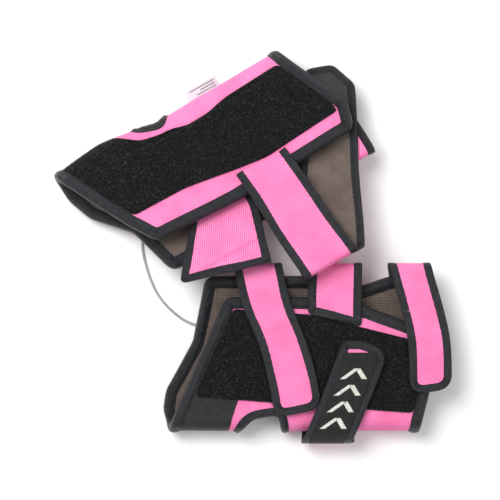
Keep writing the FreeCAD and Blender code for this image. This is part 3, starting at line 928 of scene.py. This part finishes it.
def tufts(name, sheet, ring, density, seed):
    """Small leaning loops spread over a ring, density of them to each square millimetre."""
    rng = np.random.default_rng(seed)
    low, high = ring.min(0), ring.max(0)
    count = int(density * (high - low).prod() / MM ** 2)
    place = rng.uniform(low, high, (count, 2))
    place = place[inside(ring, place[:, 0], place[:, 1])]
    count = len(place)
    lean = rng.normal(0, 0.42 * MM, (count, 2))
    turn = rng.uniform(0, 2 * math.pi, count)
    half = np.stack([np.cos(turn), np.sin(turn)], 1) * rng.uniform(0.09, 0.2, count)[:, None] * MM
    tall = rng.uniform(0.35, 1.0, count) * MM
    corners = []
    shape = ((-1, 0, 0), (1, 0, 0), (0.8, 0.6, 0.75), (-0.8, 0.6, 0.75), (0.3, 1.1, 1.0))
    for side, share, height in shape:  # to the side, how much of the lean, how much of the height
        spot = place + side * half + share * lean
        corners.append(sheet.at(spot[:, 0], spot[:, 1], -0.5 * MM + height * tall))
    points = np.stack(corners, 1).reshape(-1, 3)
    base = np.arange(count)[:, None] * 5
    quads = (base + np.array([[0, 1, 2, 3]])).tolist()
    tips = (base + np.array([[3, 2, 4]])).tolist()
    mesh = bpy.data.meshes.new(name)
    mesh.from_pydata(points.tolist(), [], quads + tips)
    mesh.materials.append(TUFT)
    return placed(name, mesh)


# ---- straps

WEBBING = 0.9  # thickness of a strap's webbing
STRAP_TAPE = 5.2
STRAP_PROUD = 0.5
STRAP_OUT = 0.06  # added to the webbing's thickness on each side
STRAP_THREAD_IN = 1.0
WAVER = 0.45  # how far a strap's sides waver
BOW_EASE = 12
WRIST_BOW = ((-40, -5.0), (6, -5.0), (22, -1.0), (38, 3.0), (58, 3.2), (90, 1.5))
FOREARM_BOW = ((-20, -3.0), (5, -3.0), (22, 0.5), (45, 2.5), (60, 2.5), (92, 0))


def bend_between(piece, joint, brace, direction, before, after):
    """Bakes a strap's piece where it lies. A pivot at its joint and a way across the fold are worked out
    from direction, before and after, but nothing bends.
    """
    pivot = Vector(JOINTS[joint]["pos_m"])
    way = brace.world(*direction).normalized()
    pivot + way * before * MM
    pivot + way * after * MM
    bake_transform(piece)


def make_strap(brace, name, parts, move, seed, split=None, creases=(), tape_width=STRAP_TAPE,
               bow=((0, 0), (1, 0))):
    """A strap with bound edges, from the CAD cores of its root and its tail. move puts a piece on its body.
    split is where along the sheet a piece of it ends and the next starts. bow is how far its sides shift, in
    mm, at places along its length."""
    sheet = Sheet(brace, parts, ease=1.6, swell=0.28, seed=seed)
    sheet.creases = creases
    edges = sorted(sheet.rims(cut_start=True), key=lambda edge: -len(edge[0]))
    line = edges[0][0]
    waver = np.sin(line[:, 1] / (13 * MM) + seed) + np.sin(line[:, 1] / (29 * MM) + 2 * seed)
    line[:, 0] += waver * WAVER * MM
    even, shift = softened(bow, BOW_EASE)
    line[:, 0] += np.interp(line[:, 1], even, shift)
    spans = [(sheet.low, sheet.high)] if split is None else [(sheet.low, split), (split, sheet.high)]
    section = tape_section(tape_width, 0.0, -WEBBING, STRAP_PROUD, 0.45)
    lift = THREAD_UP * STRAP_PROUD
    for k, (low, high) in enumerate(spans):
        tag = f"{brace.side}_{name}" + ("" if split is None else f"_{k}")
        bands = rows(line, low + 0.01 * MM, high, 1.2 * MM, 0.5 * MM)
        web = slab(f"{tag}_webbing", sheet, bands, STRAP_OUT * MM, -(WEBBING + STRAP_OUT) * MM, PINK_WEBBING,
                   columns=30, under=LINING)
        pieces = [web]
        for n, run in enumerate(runs_between(line, low, high)):
            tape = bound_edge(f"{tag}_tape_{n}", sheet, run, False, section, BINDING, seed=seed + n)
            sewn = stitches(f"{tag}_stitches_{n}", sheet, run, False, tape_width - STRAP_THREAD_IN,
                            (lift, -WEBBING - lift), pitch=2.8, long=1.7, thick=0.16)
            pieces += [tape, sewn]
        for piece in pieces:
            move(piece, k)
        if k == 0:
            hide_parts(*(node for node, _ in parts), *(f"{node}_tape" for node, _ in parts))
    return sheet, line


def runs_between(line, low, high):
    """The stretches of an edge line that lie between two distances along the section."""
    found, run = [], []
    for point in line:
        if low - 0.6 * MM <= point[1] <= high + 0.6 * MM:
            run.append(point)
        elif run:
            found.append(run)
            run = []
    if run:
        found.append(run)
    return [np.array(run) for run in found if len(run) > 8]


def bend_centre(piece):
    """Bakes a piece of the right centre strap's tail where it lies, by way of its joint."""
    bend_between(piece, "right_centre_strap_peel", RIGHT, (0, 1), -4.5, 5)


def make_straps():
    """All six straps. Gives back the right centre strap's sheet and edge line, for its badge."""
    def bends(joint, brace, direction, before, after):
        return lambda piece, k: bend_between(piece, joint, brace, direction, before, after)

    def centre_moves(piece, k):
        if k == 0:
            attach(piece, "braces")
        else:
            bend_centre(piece)

    make_strap(RIGHT, "wrist", [("right_wrist_strap", -1), ("right_wrist_tail", 1)],
               bends("right_wrist_strap_peel", RIGHT, (-1, 0), -5, 5), 21,
               creases=[(35.0, -0.35, 0.55)], bow=WRIST_BOW)
    make_strap(RIGHT, "forearm", [("right_forearm_strap", -1), ("right_forearm_tail", 1)],
               bends("right_forearm_strap_peel", RIGHT, (0, 1), -3.3, 2.4), 22,
               creases=[(74.0, -0.35, 0.55)], bow=FOREARM_BOW)
    centre = make_strap(RIGHT, "centre", [("right_centre_strap", -1), ("right_centre_tail", 1)],
                        centre_moves, 23, split=-40 * MM, tape_width=5.6)
    make_strap(LEFT, "wrist", [("left_wrist_strap", -1), ("left_wrist_tail", 1)],
               bends("left_wrist_strap_unfold", LEFT, (-0.15, 1), -0.8, 3.6), 24)
    make_strap(LEFT, "forearm", [("left_forearm_strap", -1), ("left_forearm_tail", 1)],
               bends("left_forearm_strap_unfold", LEFT, (-0.05, 1), -1.5, 1.6), 25)
    make_strap(LEFT, "centre", [("left_centre_strap", 1), ("left_centre_tail", -1)],
               lambda piece, k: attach(piece, FLAP), 26)
    return centre


BADGE_START = 1.5  # from the meeting line
BADGE_TIP = 8.2  # short of the strap's end
BADGE_SIDE = 5.0  # inside the strap's sides
CHEVRONS = 4
CHEVRON_FIRST = 18  # from the badge's tip to the first one's outer ends
CHEVRON_PITCH = 11.5
CHEVRON_ARM = 7.6  # length along the strap, and reach to the side
CHEVRON_HALF = 1.9  # half an arm's width


def make_badge(sheet, line):
    """The woven badge, which covers the strap's tail between its tapes, and its plain chevrons."""
    def finish(piece):
        bend_centre(piece)

    tip = sheet.high - BADGE_TIP * MM
    bands = rows(line, BADGE_START * MM, tip, 1.0 * MM, BADGE_SIDE * MM)
    badge = slab("right_badge_cloth", sheet, bands, 0.55 * MM, -0.1 * MM, BADGE, columns=24)
    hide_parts("right_badge")
    finish(badge)
    runs, lows, highs = (np.array(column) for column in zip(*bands))
    for k in range(CHEVRONS):
        start = tip - (CHEVRON_FIRST + CHEVRON_PITCH * k) * MM
        for n, way in enumerate((-1, 1)):
            arm = []
            for step in np.arange(0, CHEVRON_ARM, 0.5):
                s = start + step * MM
                middle = np.interp(s, runs, (lows + highs) / 2) + way * (CHEVRON_ARM - step) * MM
                arm.append((s, middle - CHEVRON_HALF * MM, middle + CHEVRON_HALF * MM))
            finish(slab(f"right_badge_mark_{k}_{n}", sheet, arm, 0.75 * MM, 0.4 * MM, MARK, columns=6))


# ---- finishes on what stays, and the stage


BAR_REACH = (0.86, 0.55, 0.7)  # where each bar ends, as a share of the label's length
BAR_START = 0.08
BAR_INSET = 1.4  # from the label's side to the first bar
BAR_PITCH = 2.1
BAR_WIDTH = 1.0
BAR_LIFT = 0.06  # above the label
FLOOR_REACH = 3.0  # metres from the middle of the floor to its sides
SKY = 0.5
LAMPS = (("key", (-0.5, 0.5, 1.1), 0.75, 17.0), ("fill", (0.8, -0.3, 0.9), 0.9, 3.0))  # size, then watts


def paint(node, material):
    """Gives a piece that stays as the frame has it a finish."""
    mesh = NODES[node].data
    mesh.materials.clear()
    mesh.materials.append(material)


def print_label():
    """Plain grey bars on the label's upper side."""
    label = NODES["size_label"].data
    outside = LEFT.local(Vector(JOINTS["left_flap_open"]["pos_m"]))[1] - 2 * MM
    upper = [face for face in label.polygons if face.normal.z > 0.5 and LEFT.local(face.center)[1] < outside]
    plate = max(upper, key=lambda face: face.area)
    spots = [LEFT.local(label.vertices[i].co) for i in plate.vertices]
    (u0, v0), (u1, _) = (tuple(pick(spot[axis] for spot in spots) for axis in (0, 1)) for pick in (min, max))
    points, faces = [], []
    for k, reach in enumerate(BAR_REACH):
        v = v0 + (BAR_INSET + BAR_PITCH * k) * MM
        for share, over in ((BAR_START, 0.0), (reach, 0.0), (reach, 1.0), (BAR_START, 1.0)):
            spot = LEFT.u * (u1 + (u0 - u1) * share) + LEFT.v * (v + over * BAR_WIDTH * MM)
            lift = (plate.center - spot).dot(plate.normal) / LEFT.w.dot(plate.normal)
            points.append(spot + LEFT.w * lift + plate.normal * BAR_LIFT * MM)
        faces.append([4 * k + n for n in range(4)])
    bars = new_piece("size_label_bars", points, faces, np.zeros((len(points), 2)), INK, smooth=False)
    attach(bars, "braces")


def finish_frame_parts():
    """Finishes for the hooks, stays, label and lock, which nothing replaces, and for the loop."""
    for node in NODES:
        if node.endswith("_hook"):
            paint(node, HOOK)
        elif node.endswith("_splint"):
            paint(node, STAY)
    paint("size_label", PAPER)
    print_label()
    paint("tie_lock", PLASTIC)
    thread.data.materials.append(PLASTIC)


def add_stage():
    """The pale floor, a white studio and two soft lamps that look at the middle."""
    mesh = bpy.data.meshes.new("floor")
    corners = [(x * FLOOR_REACH, y * FLOOR_REACH, 0) for x, y in ((-1, -1), (1, -1), (1, 1), (-1, 1))]
    mesh.from_pydata(corners, [], [(0, 1, 2, 3)])
    floor = placed("floor", mesh)
    made = Shader("pale_floor")
    made.set(Base_Color=colour(0.93, 0.93, 0.93), Roughness=0.9)
    mesh.materials.append(made.material)
    world = bpy.data.worlds.new("studio")
    world.use_nodes = True
    sky = world.node_tree.nodes["Background"]
    sky.inputs["Color"].default_value = colour(1.0, 1.0, 1.0)
    sky.inputs["Strength"].default_value = SKY
    bpy.context.scene.world = world
    bpy.context.scene.view_settings.view_transform = "Standard"
    for name, place, width, power in LAMPS:
        light = bpy.data.lights.new(name, "AREA")
        light.size = width
        light.energy = power
        lamp = placed(name, light)
        lamp.location = place
        lamp.rotation_euler = (-Vector(place)).to_track_quat("-Z", "Y").to_euler()


def main():
    for brace in (RIGHT, LEFT):
        make_pile(brace, make_wrap(brace))
    make_badge(*make_straps())
    finish_frame_parts()
    add_stage()
    bpy.context.view_layer.update()


main()
